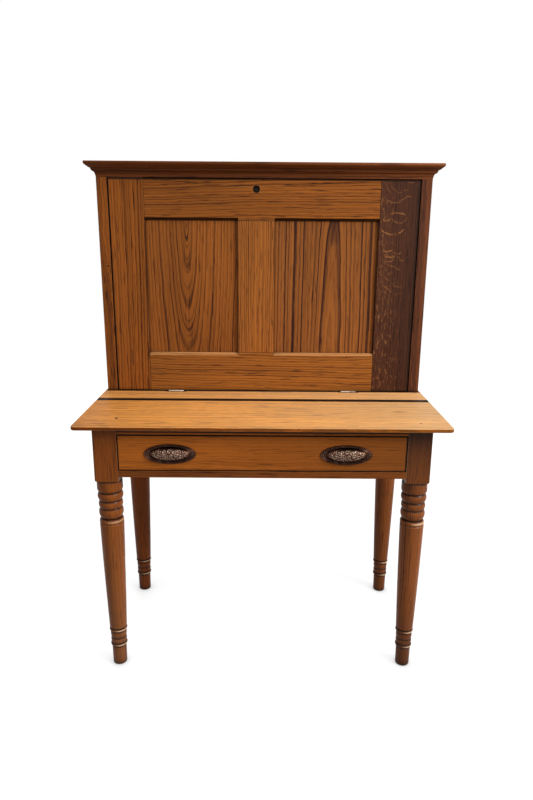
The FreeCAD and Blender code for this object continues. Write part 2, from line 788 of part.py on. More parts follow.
def build_hinge(side, x):
    """One butt hinge: returns its pin and its two sets of screws."""
    x_span = centred(x, hinge_length)
    middle_span = centred(x, hinge_length / 3)
    bore = cylinder_x(pin_radius + pin_clearance, grown(x_span, overrun), hinge_axis_y, hinge_axis_z)
    barrel = cylinder_x(knuckle_radius, x_span, hinge_axis_y, hinge_axis_z)
    relief_y = (hinge_axis_y - knuckle_radius - overrun, hinge_axis_y + knuckle_radius + knuckle_relief)
    relief_z = grown((hinge_axis_z - knuckle_radius, hinge_axis_z + knuckle_radius), overrun)
    leaf_y = (hinge_axis_y, cabinet_front_y + leaf_depth)

    middle_relief = board(grown(middle_span, knuckle_gap / 2), relief_y, relief_z)
    table_leaf = board(x_span, leaf_y, (hinge_axis_z, table_height)).fuse(barrel)
    table_leaf = table_leaf.cut([middle_relief, bore])

    fall_leaf_z = (fall_bottom - leaf_thickness, fall_bottom)
    end_reliefs = [
        board((x_span[0] - overrun, middle_span[0] + knuckle_gap / 2), relief_y, relief_z),
        board((middle_span[1] - knuckle_gap / 2, x_span[1] + overrun), relief_y, relief_z),
    ]
    fall_leaf = board(x_span, leaf_y, fall_leaf_z).fuse(barrel).cut(end_reliefs + [bore])

    table_screws = []
    fall_screws = []
    screw_y = (hinge_axis_y + knuckle_radius + leaf_y[1]) / 2
    for share in (-hinge_screw_place_share, hinge_screw_place_share):
        screw_x = x + hinge_length * share
        table_screw = flat_head_screw(False)
        table_screw.translate(Vector(screw_x, screw_y, table_height))
        table_screws.append(table_screw)
        fall_screw = flat_head_screw(True)
        fall_screw.translate(Vector(screw_x, screw_y, fall_leaf_z[0]))
        fall_screws.append(fall_screw)

    pieces[side + "_hinge_table_leaf"] = table_leaf.cut(table_screws).removeSplitter()
    pieces[side + "_hinge_fall_leaf"] = fall_leaf.cut(fall_screws).removeSplitter()
    pin = cylinder_x(pin_radius, x_span, hinge_axis_y, hinge_axis_z)

    barrel_room = board(
        grown(x_span, knuckle_relief),
        (hinge_axis_y - knuckle_radius - knuckle_relief, hinge_axis_y + knuckle_radius + knuckle_relief),
        (hinge_axis_z - knuckle_radius - knuckle_relief, table_height + overrun),
    )
    leaf_seat = board(x_span, leaf_y, (hinge_axis_z, table_height + overrun))
    pieces["rear_top_board"] = pieces["rear_top_board"].cut([barrel_room, leaf_seat] + table_screws)
    fall_seat = board(x_span, leaf_y, fall_leaf_z)
    pieces["fall_bottom_rail"] = pieces["fall_bottom_rail"].cut([fall_seat] + fall_screws)
    return pin, table_screws, fall_screws


def build_hinges():
    """Both hinges, with their pins and screws gathered."""
    pins = []
    table_screws = []
    fall_screws = []
    for side, share in (("left", left_hinge_place_share), ("right", right_hinge_place_share)):
        pin, down, up = build_hinge(side, fall_half_width * share)
        pins.append(pin)
        table_screws += down
        fall_screws += up
    pieces["hinge_pins"] = Part.makeCompound(pins)
    pieces["table_hinge_screws"] = Part.makeCompound(table_screws)
    pieces["fall_hinge_screws"] = Part.makeCompound(fall_screws)


def build_lock():
    """Lock case let into the back of the fall, its bolt, and the strike in the head rail."""
    x = muntin_x
    key_z = fall_top - keyhole_drop
    case_y = (fall_back_y - lock_thickness, fall_back_y)
    case_z = (fall_top - lock_height, fall_top)
    case = board(centred(x, lock_width), case_y, case_z)

    bolt_y = grown(case_y, -lock_wall - bolt_clearance)
    bolt_z = (fall_top - bolt_height, fall_top)
    bolt_x = centred(x, bolt_width)
    bolt = board(bolt_x, bolt_y, bolt_z)
    channel_z = (bolt_z[0] - bolt_clearance, fall_top + overrun)
    channel = board(grown(bolt_x, bolt_clearance), grown(bolt_y, bolt_clearance), channel_z)

    front_gap = case_y[0] - cabinet_front_y
    nozzle_start = Vector(x, cabinet_front_y + nozzle_sink, key_z)
    nozzle_length = front_gap - nozzle_sink
    nozzle_radius = keyhole_radius - nozzle_clearance
    nozzle = Part.makeCylinder(nozzle_radius, nozzle_length, nozzle_start, Vector(0, 1, 0))
    nozzle_bore = Part.makeCylinder(nozzle_radius - nozzle_wall, nozzle_length, nozzle_start, Vector(0, 1, 0))
    post_start = Vector(x, case_y[0] - key_post_length, key_z)
    post = Part.makeCylinder(key_post_radius, key_post_length, post_start, Vector(0, 1, 0))
    lock_case = case.cut(channel).fuse([nozzle.cut(nozzle_bore), post]).removeSplitter()

    hole_start = Vector(x, cabinet_front_y - overrun, key_z)
    keyhole = Part.makeCylinder(keyhole_radius, front_gap + overrun, hole_start, Vector(0, 1, 0))
    pieces["lock_case"] = lock_case
    pieces["lock_bolt"] = bolt
    pieces["fall_top_rail"] = pieces["fall_top_rail"].cut([case, keyhole])

    strike_z = (cornice_bottom, cornice_bottom + strike_thickness)
    strike_seat = board(centred(x, strike_length), case_y, strike_z)
    mortise_z = (cornice_bottom - overrun, fall_top + bolt_travel + lock_wall)
    mortise = board(grown(bolt_x, lock_wall), grown(bolt_y, bolt_clearance), mortise_z)
    pieces["lock_strike"] = strike_seat.cut(mortise)
    pieces["head_rail"] = pieces["head_rail"].cut([strike_seat, mortise])


def single(shape):
    """A shape with one solid, as that solid alone."""
    return shape.Solids[0] if len(shape.Solids) == 1 else shape


build_table_frame()
build_drawer_supports()
build_table_top()
build_drawer()
build_pulls()
build_cabinet()
build_back()
build_cornice()
build_fall()
build_hinges()
build_lock()

os.makedirs("parts", exist_ok=True)
for node_name, node_shape in pieces.items():
    single(node_shape).exportStep("parts/" + node_name + ".step")
print(len(pieces), "nodes")
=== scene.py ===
import bmesh
import bpy
import json
import math

from mathutils import Matrix, Vector


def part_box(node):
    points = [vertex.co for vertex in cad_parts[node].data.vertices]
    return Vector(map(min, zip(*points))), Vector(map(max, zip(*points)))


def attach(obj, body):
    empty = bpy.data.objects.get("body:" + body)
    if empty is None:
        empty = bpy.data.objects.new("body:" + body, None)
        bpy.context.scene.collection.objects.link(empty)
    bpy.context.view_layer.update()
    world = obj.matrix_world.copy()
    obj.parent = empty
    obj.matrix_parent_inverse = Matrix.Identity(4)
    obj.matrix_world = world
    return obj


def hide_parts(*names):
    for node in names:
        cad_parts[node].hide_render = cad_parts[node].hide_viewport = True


# Looks of a fall-front writing desk: worn oiled wood, turned legs, embossed pulls.
# All lengths are metres in the part's own frame, colours are linear.

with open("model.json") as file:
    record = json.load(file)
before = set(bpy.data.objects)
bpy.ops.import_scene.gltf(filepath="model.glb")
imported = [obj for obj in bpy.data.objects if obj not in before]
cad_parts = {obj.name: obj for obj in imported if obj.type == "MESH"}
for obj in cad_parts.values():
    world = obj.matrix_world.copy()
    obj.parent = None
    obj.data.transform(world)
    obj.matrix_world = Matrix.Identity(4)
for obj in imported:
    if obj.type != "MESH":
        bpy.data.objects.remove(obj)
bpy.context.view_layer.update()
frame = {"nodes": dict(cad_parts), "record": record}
nodes = frame["nodes"]

# Camera, fitted to the photograph's edges; its angles are radians
camera_place = (0.004877, -1.791267, 1.201482)
camera_turn = -0.00301
camera_pitch = 0.26198
camera_roll = -0.00746
camera_focal_pixels = 637.911
picture_height_pixels = 800
sensor_height_mm = 36.0

# Lamps: place, size and watts; all of them aim at the same point
lamps = {
    "key_light": ((2.9, -1.7, 2.5), 1.3, 130.0),
    "top_light": ((0.1, -0.5, 3.2), 2.2, 48.0),
    "front_light": ((-0.5, -3.4, 0.9), 2.2, 10.0),
    "back_light": ((-0.7, 3.3, 1.9), 2.2, 60.0),
}
lamps_without_mirror_image = ("back_light",)
light_target = (0.0, 0.0, 0.75)

# Stage: sky, floor, how near to white the floor reads near the desk and far from it, and the painted contact
# shadow round the feet
white = (1.0, 1.0, 1.0)
sky_strength = 0.20
backdrop_strength = 1.0
floor_size = 14.0
floor_colour = (0.22, 0.22, 0.218)
floor_lifts = (0.89, 0.96)
floor_lift_reach = (0.8, 2.6)
contact_shadow_reach = 0.09
contact_shadow_levels = (0.20, 0.98)
contact_shadow_darkest_share = 0.35

# Woods: colour of the early wood, of the late wood, and of rubbed places, which painted sheen and painted
# highlights also take
woods = {
    "face": {
        "light": (0.330, 0.100, 0.0140),
        "dark": (0.036, 0.0105, 0.0045),
        "worn_and_sheen": (0.66, 0.36, 0.15),
    },
    # The top boards' wood is lighter than the rest, partly as a paler worn top and partly as painted light
    # from above; their edges take painted shade.
    "top": {
        "light": (0.765, 0.285, 0.031),
        "dark": (0.180, 0.056, 0.012),
        "worn_and_sheen": (0.84, 0.56, 0.29),
    },
    "dark": {
        "light": (0.265, 0.076, 0.011),
        "dark": (0.055, 0.016, 0.005),
        "worn_and_sheen": (0.74, 0.50, 0.30),
    },
    "quartered": {
        "light": (0.086, 0.030, 0.014),
        "dark": (0.018, 0.007, 0.005),
        "worn_and_sheen": (0.34, 0.135, 0.045),
    },
    "inside": {
        "light": (0.360, 0.180, 0.070),
        "dark": (0.170, 0.075, 0.028),
        "worn_and_sheen": (0.42, 0.24, 0.11),
    },
}

# How a board is cut from its log, how worn it is, and how much painted shade and painted highlight it takes,
# unless the board says otherwise.
# Ring width, pith place, wobble and the reach of the painted shade in corners are lengths. Tilt, fades and
# the slope of bleach and painted sheen count per metre, end_fade per square metre from the middle. The rest
# are strengths.
plain_cut = {
    "ring": 0.008,
    "tilt": 0.02,
    "pith_across": 0.09,
    "pith_depth": 0.04,
    "wobble": 0.014,
    "rings": 0.75,
    "streaks": 1.0,
    "flecks": 0.0,
    "scribbles": 0.0,
    "wear": 0.45,
    "upper_wear_and_highlight": 0.0,
    "under_shade": 0.0,
    "edge_shade": 0.0,
    "fade": 0.0,
    "end_fade": 0.0,
    "side_fade": 0.0,
    "bleach_and_sheen": 0.0,
    "bleach_and_sheen_slope": 0.0,
    "corner_shade_reach": 0.016,
}
plain_tone = (1.0, 1.0, 1.0)
plain_gloss = 0.0

# Noises: layers of finer detail, strength of those layers, and the value they swing about
smooth_detail = 1.0
plain_detail = 2.0
rich_detail = 3.0
noise_roughness = 0.5
noise_middle = 0.5

# Wood pattern: scales are cycles per metre along and across the grain, levels cut a value of 0 to 1
seed_step = (3.7, 5.1, 2.3)
wander_scales = (1.7, 6.0)
ring_spread = 0.45
ring_unevenness = 2.4
ring_weakest_share = 0.20
late_rise_levels = (0.70, 0.82)
late_fall_levels = (0.94, 1.0)
ramp_levels = (0.05, 0.70)
ramp_share = 0.16
fine_ring_count = 2.3
fine_rise_levels = (0.56, 0.70)
fine_fall_levels = (0.84, 0.96)
wave_scales = (8.0, 12.0)
wave_height = 0.005
ripple_scales = (34.0, 60.0)
ripple_height = 0.0024
line_patch_scales = (2.6, 45.0)
line_patch_levels = (0.34, 0.60)
line_floor_share = 0.58
fine_line_share = 0.72
streak_scales = (2.5, 60.0)
streak_levels = (0.42, 0.72)
streak_share = 0.14
dash_scales = (13.0, 260.0)
dash_levels = (0.60, 0.68)
dash_share = 0.50
pore_scales = (36.0, 1250.0)
pore_levels = (0.58, 0.74)
pore_share = 0.30
tone_scales = (1.3, 5.0)
tone_levels = (0.25, 0.75)
tone_shares = (0.80, 1.18)

# Ray flecks and scribbles on quartered wood
fleck_spacing = 0.024
fleck_curve = 14.0
fleck_shift = 0.006
fleck_scales = (18.0, 24.0)
fleck_unevenness = 2.2
fleck_rise_levels = (0.60, 0.72)
fleck_fall_levels = (0.78, 0.90)
fleck_break_scales = (70.0, 50.0)
fleck_break_levels = (0.42, 0.58)
fleck_patch_scales = (9.0, 14.0)
fleck_patch_levels = (0.38, 0.56)
fleck_patch_slope = 0.09
fleck_side_levels = (-0.010, 0.030)
fleck_side_slope = 0.11
scribble_scales = (55.0, 190.0)
scribble_distortion = 0.6
scribble_levels = (0.53, 0.72)
scribble_side_slope = 0.10
scribble_side_levels = (-0.055, 0.030)

# Wear, painted highlight on upper slopes, and painted shade on edges, undersides and in gaps and corners
rub_radius = 0.0030
rub_samples = 4
rub_turn_levels = (0.03, 0.25)
rub_scales = (9.0, 30.0)
rub_levels = (0.36, 0.62)
upper_wear_and_highlight_levels = (0.30, 0.62)
under_levels = (-0.62, -0.30)
under_darkest_share = 0.12
edge_levels = (0.30, 0.80)
edge_shade_tint = (0.46, 0.256, 0.077)
corner_shade_samples = 8
corner_shade_levels = (0.30, 0.94)
corner_shade_darkest_share = 0.04

# Surface of the wood
rough_base = 0.46
rough_of_dark = 0.16
rough_of_pores = 0.10
late_drop_share = 0.35
fine_line_drop_share = 0.20
pore_drop_share = 0.35
wood_bump = 0.40
wood_bump_depth = 0.0006
wood_specular = 0.09
coat_roughness = 0.24
edge_round = 0.0010
edge_round_steps = 2
edge_round_degrees = 40.0
weld_reach = 0.00002

# Dark lines along joints, and painted shade and shadow in the gap between the top boards, along the fall's
# foot, under the overhang and round the hinge leaves: a line is full to half its width and gone at its width
mark_and_shade_colour = (0.014, 0.006, 0.003)
seam_width = 0.0016
joint_and_shade_line_share = 0.92
head_seam_width = 0.0040
left_seam_width = 0.0030
right_seam_width = 0.0060
drawer_right_seam_width = 0.0034
overhang_shadow_width = 0.0036
overhang_shadow_drop = 0.0098
gap_shade_width = 0.0125
fall_foot_shadow_width = 0.0088
gap_shade_share = 0.98
hinge_shade_width = 0.0100

# Spots: place from the low corner of the board's box, half sizes, share of these that is full, strength
top_spots = [
    ((0.100, 0.080, 0.0095), (0.0046, 0.0066, 0.004), 0.8, 0.99),
    ((0.891, 0.050, 0.0095), (0.0036, 0.0052, 0.004), 0.6, 0.80),
    ((0.857, 0.158, 0.0095), (0.034, 0.012, 0.004), 0.1, 0.42),
]
side_spots = [((0.023, 0.0, 0.374), (0.003, 0.003, 0.003), 0.7, 0.95)]

# Broad ray arcs on the right stile: place across and down from its inner top corner, half width,
# rise of the ends, line width and strength
stile_arcs = [
    (0.040, 0.0615, 0.035, 0.020, 0.0016, 0.50),
    (0.038, 0.1490, 0.037, 0.019, 0.0030, 0.70),
    (0.051, 0.0890, 0.022, -0.004, 0.0028, 0.55),
    (0.020, 0.1110, 0.012, 0.006, 0.0030, 0.50),
    (0.056, 0.1170, 0.026, 0.020, 0.0016, 0.45),
    (0.026, 0.1970, 0.016, 0.005, 0.0026, 0.60),
    (0.042, 0.2110, 0.022, -0.003, 0.0022, 0.55),
    (0.056, 0.2030, 0.012, 0.007, 0.0024, 0.50),
    (0.032, 0.2250, 0.014, 0.004, 0.0022, 0.50),
]
arc_wobble_scale = 90.0
arc_wobble = 0.010
arc_break_scale = 160.0
arc_break_levels = (0.36, 0.52)
arc_end_levels = (0.80, 1.0)

# Legs: how each differs, then the rings made pale by wear and by painted highlight on the side that faces the
# light from the right front, and the painted shade in the grooves, both by their level above the floor
leg_wood = {"rings": 0.4, "gloss": 0.10, "corner_shade_reach": 0.030}
leg_cuts = {
    "front_left_leg": {
        "tone": (1.03, 0.87, 0.40),
        "end_fade": 0.9,
        "bleach_and_sheen": 0.035,
        "bleach_and_sheen_slope": -0.12,
    },
    "front_right_leg": {"tone": (1.10, 1.08, 1.45), "fade": -0.45, "end_fade": 5.8},
    "rear_left_leg": {"tone": (1.14, 0.88, 0.5), "fade": 0.6, "end_fade": 1.4},
    "rear_right_leg": {"tone": (1.02, 0.95, 1.00), "fade": 0.6, "end_fade": 1.4},
}
collar_wear_and_highlight_level = 0.4455
collar_wear_and_highlight_width = 0.0030
collar_wear_and_highlight_shares = {
    "front_left_leg": 0.40,
    "front_right_leg": 0.75,
    "rear_left_leg": 0.5,
    "rear_right_leg": 0.5,
}
foot_wear_and_highlight_levels = (0.1105, 0.0634)
foot_wear_and_highlight_width = 0.0026
foot_wear_and_highlight_share = 0.85
wear_and_highlight_direction = (0.62, -0.62, 0.48)
wear_and_highlight_facing_levels = (0.42, 0.95)
# Dark lines in the leg grooves are painted shade.
leg_groove_shade_levels = (0.0583, 0.0680, 0.0853, 0.1050, 0.1155, 0.4526, 0.4818, 0.5031, 0.5278, 0.5600)
leg_groove_shade_width = 0.0036
leg_groove_shade_share = 0.82

# Metals by slot: material name, bright colour, dull colour and roughness; then what all metals share
metals = {
    "hinge_steel": ("hinge_steel_worn", (0.46, 0.38, 0.30), (0.20, 0.15, 0.11), 0.40),
    "screw_steel": ("screw_steel_dull", (0.12, 0.085, 0.06), (0.05, 0.034, 0.025), 0.46),
    "lock_iron": ("lock_iron_dark", (0.030, 0.026, 0.024), (0.014, 0.012, 0.011), 0.55),
}
metallic = 1.0
metal_patch_scale = 60.0
metal_patch_detail = 5.0
metal_patch_roughness = 0.65
metal_patch_levels = (0.38, 0.66)
metal_scratch_scales = (90.0, 900.0, 900.0)
metal_dull_roughness = 0.22
metal_scratch_roughness = 0.10
metal_corner_shade_reach = 0.004
metal_bump = 0.25
metal_bump_depth = 0.0004

# Brass of the pulls: hollow, ground and rubbed colours follow the relief that their meshes carry
brass_speckle_scale = 260.0
brass_speckle_detail = 4.0
brass_speckle_roughness = 0.7
brass_speckle_reach = 0.70
brass_patina_scale = 70.0
brass_patina_reach = 0.75
brass_copper_levels = (0.10, 0.50)
brass_rub_levels = (0.46, 0.95)
brass_hollow = (0.010, 0.005, 0.004)
brass_copper = (0.098, 0.043, 0.027)
brass_rubbed = (0.235, 0.174, 0.127)
brass_roughness = 0.42
brass_rub_polish = 0.14
brass_edge_tint = (0.40, 0.25, 0.20)

# Pulls: hood, flange, rims and embossed field as shares of the CAD pull's box, the field's soft edge as a
# share of the field, then sizes, and reliefs that set how rubbed the brass is
hood_length_share = 0.812
hood_height_share = 0.781
flange_inner_share = 0.30
rim_shares = (0.970, 0.895, 0.825)
rim_width_share = 0.030
field_length_share = 0.79
field_height_share = 0.66
field_rise_share = 0.03
field_edge_share = 0.45
hood_lip_degrees = 38.0
hood_wall = 0.0014
hood_steps = (280, 90)
flange_thickness = 0.0020
flange_steps = (70, 220)
rim_height = 0.0011
emboss_height = 0.0011
hood_relief = 0.12
ground_relief = 0.20
field_relief = 0.68
flange_relief = 0.12
rim_relief = 0.42

# Scrolls in rows on the hood, each turned a little further than its neighbour
scroll_rows = (-0.0110, -0.0005, 0.0100)
scroll_pitch = 0.0118
scroll_radius = 0.0061
scroll_turns = 1.25
scroll_line = 0.0016
scroll_turn_step = 2.4

# Joint lines and lines of painted shade and shadow where the frame puts them: axis, level, width and strength
stile_joints = (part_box("fall_left_stile")[1].x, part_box("fall_right_stile")[0].x)
rail_joints = (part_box("fall_bottom_rail")[1].z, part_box("fall_top_rail")[0].z)
gap_sides = (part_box("rear_top_board")[0].y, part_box("front_top_board")[1].y)
drawer_low, drawer_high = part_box("drawer_front")
overhang_shadow_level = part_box("upper_front_rail")[1].z - overhang_shadow_drop
rail_seams = [("X", level, seam_width, joint_and_shade_line_share) for level in stile_joints]
muntin_seams = [("Z", level, seam_width, joint_and_shade_line_share) for level in rail_joints]
head_seam = ("Z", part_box("fall_top_rail")[1].z, head_seam_width, joint_and_shade_line_share)
left_seam = ("X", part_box("fall_left_stile")[0].x, left_seam_width, joint_and_shade_line_share)
right_seam = ("X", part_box("fall_right_stile")[1].x, right_seam_width, joint_and_shade_line_share)
drawer_seams = [
    ("X", drawer_low.x, seam_width, joint_and_shade_line_share),
    ("X", drawer_high.x, drawer_right_seam_width, joint_and_shade_line_share),
    ("Z", drawer_low.z, seam_width, joint_and_shade_line_share),
    ("Z", drawer_high.z, seam_width, joint_and_shade_line_share),
]
# Painted shadow under the top's overhang.
overhang_shadow = ("Z", overhang_shadow_level, overhang_shadow_width, joint_and_shade_line_share)
# Painted shade inside the gap between the top boards, and a painted shadow along the fall's foot.
gap_shade_lines = [("Y", level, gap_shade_width, gap_shade_share) for level in gap_sides]
fall_foot_shadow = ("Y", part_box("fall_bottom_rail")[0].y, fall_foot_shadow_width, gap_shade_share)
# Painted shade in the leg grooves.
leg_groove_shade_lines = [("Z", level, leg_groove_shade_width, leg_groove_shade_share) for level in leg_groove_shade_levels]
foot_wear_and_highlights = [(level, foot_wear_and_highlight_width, foot_wear_and_highlight_share) for level in foot_wear_and_highlight_levels]
hinge_leaves = [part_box(side + "_hinge_table_leaf") for side in ("left", "right")]


def spots_on(name, spots):
    """Spots moved from the low corner of a board's box into the part's frame."""
    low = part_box(name)[0]
    return [(tuple(low + Vector(offset)), *rest) for offset, *rest in spots]


def arcs_on(name, arcs):
    """Ray arcs moved from the inner top corner of a right-hand board into the part's frame."""
    low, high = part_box(name)
    return [(low.x + across, high.z - down, *rest) for across, down, *rest in arcs]


# Each board: wood, direction of its grain, axis across its broad face, how it was cut, and its marks.
# The order counts, because a board's number is the seed of its grain.
cornice_cut = {"pith_across": 0.2, "tone": (0.68, 0.66, 1.0), "wear": 0.0}
back_board_cut = {"pith_across": 0.02, "pith_depth": 0.05}
boards = {
    "fall_left_stile": ("face", "Z", "Y", {
        "ring": 0.009, "pith_across": 0.16, "tilt": 0.05, "rings": 1.0, "fade": -0.3,
        "tone": (1.06, 1.02, 1.0), "face_seams": [head_seam, left_seam],
    }),
    "fall_right_stile": ("quartered", "Z", "Y", {
        "ring": 0.007, "pith_across": 0.35, "rings": 0.9, "flecks": 0.35, "scribbles": 0.55,
        "fade": -0.1, "side_fade": -3.2, "tone": (0.94, 0.92, 0.92),
        "arcs": arcs_on("fall_right_stile", stile_arcs), "face_seams": [head_seam, right_seam],
    }),
    "fall_top_rail": ("face", "X", "Y", {
        "ring": 0.0075, "pith_across": 0.10, "tilt": 0.03, "wobble": 0.03, "rings": 1.0,
        "under_shade": 1.0, "fade": -0.15, "tone": (1.09, 1.09, 1.12),
        "face_seams": rail_seams + [head_seam],
    }),
    "fall_bottom_rail": ("face", "X", "Y", {
        "ring": 0.0075, "pith_across": -0.09, "pith_depth": 0.05, "tilt": 0.03, "wobble": 0.03,
        "rings": 0.9, "upper_wear_and_highlight": 0.22, "tone": (1.15, 1.27, 1.4), "seams_and_shade_lines": rail_seams,
    }),
    "fall_muntin": ("face", "Z", "Y", {
        "ring": 0.0075, "pith_across": 0.18, "rings": 1.0,
        "tone": (1.36, 1.46, 1.75), "seams_and_shade_lines": muntin_seams,
    }),
    "fall_left_panel": ("face", "Z", "Y", {
        "ring": 0.010, "pith_across": -0.016, "pith_depth": 0.0300, "tilt": -0.13, "wobble": 0.024,
        "rings": 0.85, "streaks": 0.8, "tone": (0.95, 0.96, 1.1),
    }),
    "fall_right_panel": ("face", "Z", "Y", {
        "ring": 0.013, "pith_across": 0.020, "pith_depth": 0.0347, "tilt": 0.03,
        "rings": 1.15, "streaks": 0.8, "tone": (0.88, 0.95, 1.38),
    }),
    "left_cabinet_side": ("face", "Z", "X", {
        "tone": (0.84, 0.79, 0.82), "spots": spots_on("left_cabinet_side", side_spots),
    }),
    "right_cabinet_side": ("quartered", "Z", "X", {"tone": (1.70, 1.48, 1.20)}),
    "drawer_front": ("face", "X", "Y", {
        "pith_across": 0.14, "rings": 0.4, "streaks": 0.7, "edge_shade": 0.8,
        "fade": -0.65, "end_fade": 0.7, "bleach_and_sheen_slope": 0.06, "tone": (1.28, 1.15, 0.96),
        "face_seams": drawer_seams,
    }),
    # The upper front rail's tone is raised to make up for the shade under the top's overhang: painted light.
    "upper_front_rail": ("face", "X", "Y", {"tone": (1.25, 1.2, 1.4), "seams_and_shade_lines": [overhang_shadow]}),
    "lower_front_rail": ("face", "X", "Y", {"tone": (0.77, 0.70, 0.85)}),
    "left_apron": ("face", "Y", "X", {}),
    "right_apron": ("face", "Y", "X", {}),
    "head_rail": ("face", "X", "Y", {"tone": (0.2, 0.2, 0.2)}),
    "front_top_board": ("top", "X", "Z", {
        "ring": 0.012, "pith_across": 0.20, "streaks": 2.1, "edge_shade": 1.0, "wear": 0.8,
        "fade": -0.07, "end_fade": 1.05, "bleach_and_sheen": 0.22, "bleach_and_sheen_slope": 0.36, "gloss": 0.02,
        "seams_and_shade_lines": gap_shade_lines, "spots": spots_on("front_top_board", top_spots),
    }),
    "rear_top_board": ("top", "X", "Z", {
        "ring": 0.012, "pith_across": -0.20, "streaks": 2.1, "edge_shade": 1.0,
        "bleach_and_sheen": 0.26, "bleach_and_sheen_slope": 0.3, "gloss": 0.02,
        "seams_and_shade_lines": gap_shade_lines + [fall_foot_shadow], "shade_outlines": hinge_leaves,
    }),
    "front_cornice": ("dark", "X", "Y", cornice_cut),
    "left_cornice": ("dark", "Y", "X", cornice_cut),
    "right_cornice": ("dark", "Y", "X", cornice_cut),
}

# Plain inside boards: direction of the grain and axis across the broad face
inside_boards = {
    "rear_apron": "XY",
    "left_drawer_runner": "YZ",
    "right_drawer_runner": "YZ",
    "drawer_kickers": "YZ",
    "drawer_stops": "XZ",
    "top_glue_blocks": "XY",
    "drawer_left_side": "YX",
    "drawer_right_side": "YX",
    "drawer_back": "XY",
    "drawer_bottom": "XZ",
    "cabinet_floor": "XZ",
    "cabinet_top": "XZ",
    "lower_shelf": "XZ",
    "upper_shelf": "XZ",
}
for inside_name, (inside_grain, inside_face) in inside_boards.items():
    boards[inside_name] = ("inside", inside_grain, inside_face, {})
for number in ("1", "2", "3", "4"):
    boards["back_board_" + number] = ("inside", "Z", "Y", back_board_cut)
    boards["pigeonhole_divider_" + number] = ("inside", "Z", "X", {})
for leg, leg_cut in leg_cuts.items():
    leg_wear_and_highlights = foot_wear_and_highlights + [(collar_wear_and_highlight_level, collar_wear_and_highlight_width, collar_wear_and_highlight_shares[leg])]
    boards[leg] = ("dark", "Z", "Y", {**leg_wood, **leg_cut, "seams_and_shade_lines": leg_groove_shade_lines, "wear_and_highlights": leg_wear_and_highlights})


def rgba(colour):
    return (*colour, 1.0)


class Graph:
    """Short calls that add nodes to one tree and link them."""

    def __init__(self, tree):
        self.tree = tree

    def feed(self, socket, value):
        if isinstance(value, bpy.types.NodeSocket):
            self.tree.links.new(value, socket)
        else:
            socket.default_value = value

    def add(self, kind, inputs=None, **settings):
        node = self.tree.nodes.new(kind)
        for name, value in settings.items():
            setattr(node, name, value)
        for name, value in (inputs or {}).items():
            self.feed(node.inputs[name], value)
        return node

    def math(self, operation, *values):
        node = self.add("ShaderNodeMath", operation=operation)
        for socket, value in zip(node.inputs, values):
            self.feed(socket, value)
        return node.outputs[0]

    def times(self, *values):
        product = values[0]
        for value in values[1:]:
            product = self.math("MULTIPLY", product, value)
        return product

    def away(self, value, level):
        return self.math("ABSOLUTE", self.math("SUBTRACT", value, level))

    def vector_math(self, operation, *values):
        node = self.add("ShaderNodeVectorMath", operation=operation)
        for socket, value in zip(node.inputs, values):
            self.feed(socket, value)
        is_number = operation in ("DOT_PRODUCT", "LENGTH")
        return node.outputs["Value" if is_number else "Vector"]

    def scaled(self, vector, amount):
        node = self.add("ShaderNodeVectorMath", {"Scale": amount}, operation="SCALE")
        self.feed(node.inputs[0], vector)
        return node.outputs["Vector"]

    def joined(self, x, y, z):
        return self.add("ShaderNodeCombineXYZ", {"X": x, "Y": y, "Z": z}).outputs[0]

    def axes(self, vector):
        return self.add("ShaderNodeSeparateXYZ", {"Vector": vector}).outputs

    def noise(self, place, detail=plain_detail, roughness=noise_roughness, distortion=0.0, output="Fac"):
        inputs = {
            "Vector": place,
            "Scale": 1.0,
            "Detail": detail,
            "Roughness": roughness,
            "Distortion": distortion,
        }
        return self.add("ShaderNodeTexNoise", inputs).outputs[output]

    def swing(self, noise):
        """A noise moved so that it swings about 0."""
        return self.math("SUBTRACT", noise, noise_middle)

    def step(self, value, levels, to_low=0.0, to_high=1.0):
        """A smooth step of a value between two levels."""
        inputs = {
            "Value": value,
            "From Min": levels[0],
            "From Max": levels[1],
            "To Min": to_low,
            "To Max": to_high,
        }
        return self.add("ShaderNodeMapRange", inputs, interpolation_type="SMOOTHSTEP").outputs["Result"]

    def line(self, away, width, share):
        """A soft line: its full share to half the width away, none from the width on."""
        return self.step(away, (width / 2, width), share, 0.0)

    def mix(self, share, first, second):
        """Two colours mixed; a mix node's sockets 6 and 7 take colours, and its output 2 gives one."""
        node = self.add("ShaderNodeMix", data_type="RGBA")
        self.feed(node.inputs[0], share)
        self.feed(node.inputs[6], first)
        self.feed(node.inputs[7], second)
        return node.outputs[2]

    def sheltered(self, reach, levels, darkest):
        """1 in the open, falling to the darkest value in gaps and corners."""
        shelter = self.add("ShaderNodeAmbientOcclusion", {"Distance": reach}, samples=corner_shade_samples)
        return self.step(shelter.outputs["AO"], levels, darkest, 1.0)

    def corner_shaded(self, colour, reach):
        """A colour with painted shade in gaps and corners."""
        return self.scaled(colour, self.sheltered(reach, corner_shade_levels, corner_shade_darkest_share))

    def bump(self, height, strength, depth):
        inputs = {"Height": height, "Strength": strength, "Distance": depth}
        return self.add("ShaderNodeBump", inputs).outputs["Normal"]

    def principled(self, inputs):
        """Ends a material's tree with the usual surface."""
        shader = self.add("ShaderNodeBsdfPrincipled", inputs)
        self.add("ShaderNodeOutputMaterial", {"Surface": shader.outputs["BSDF"]})


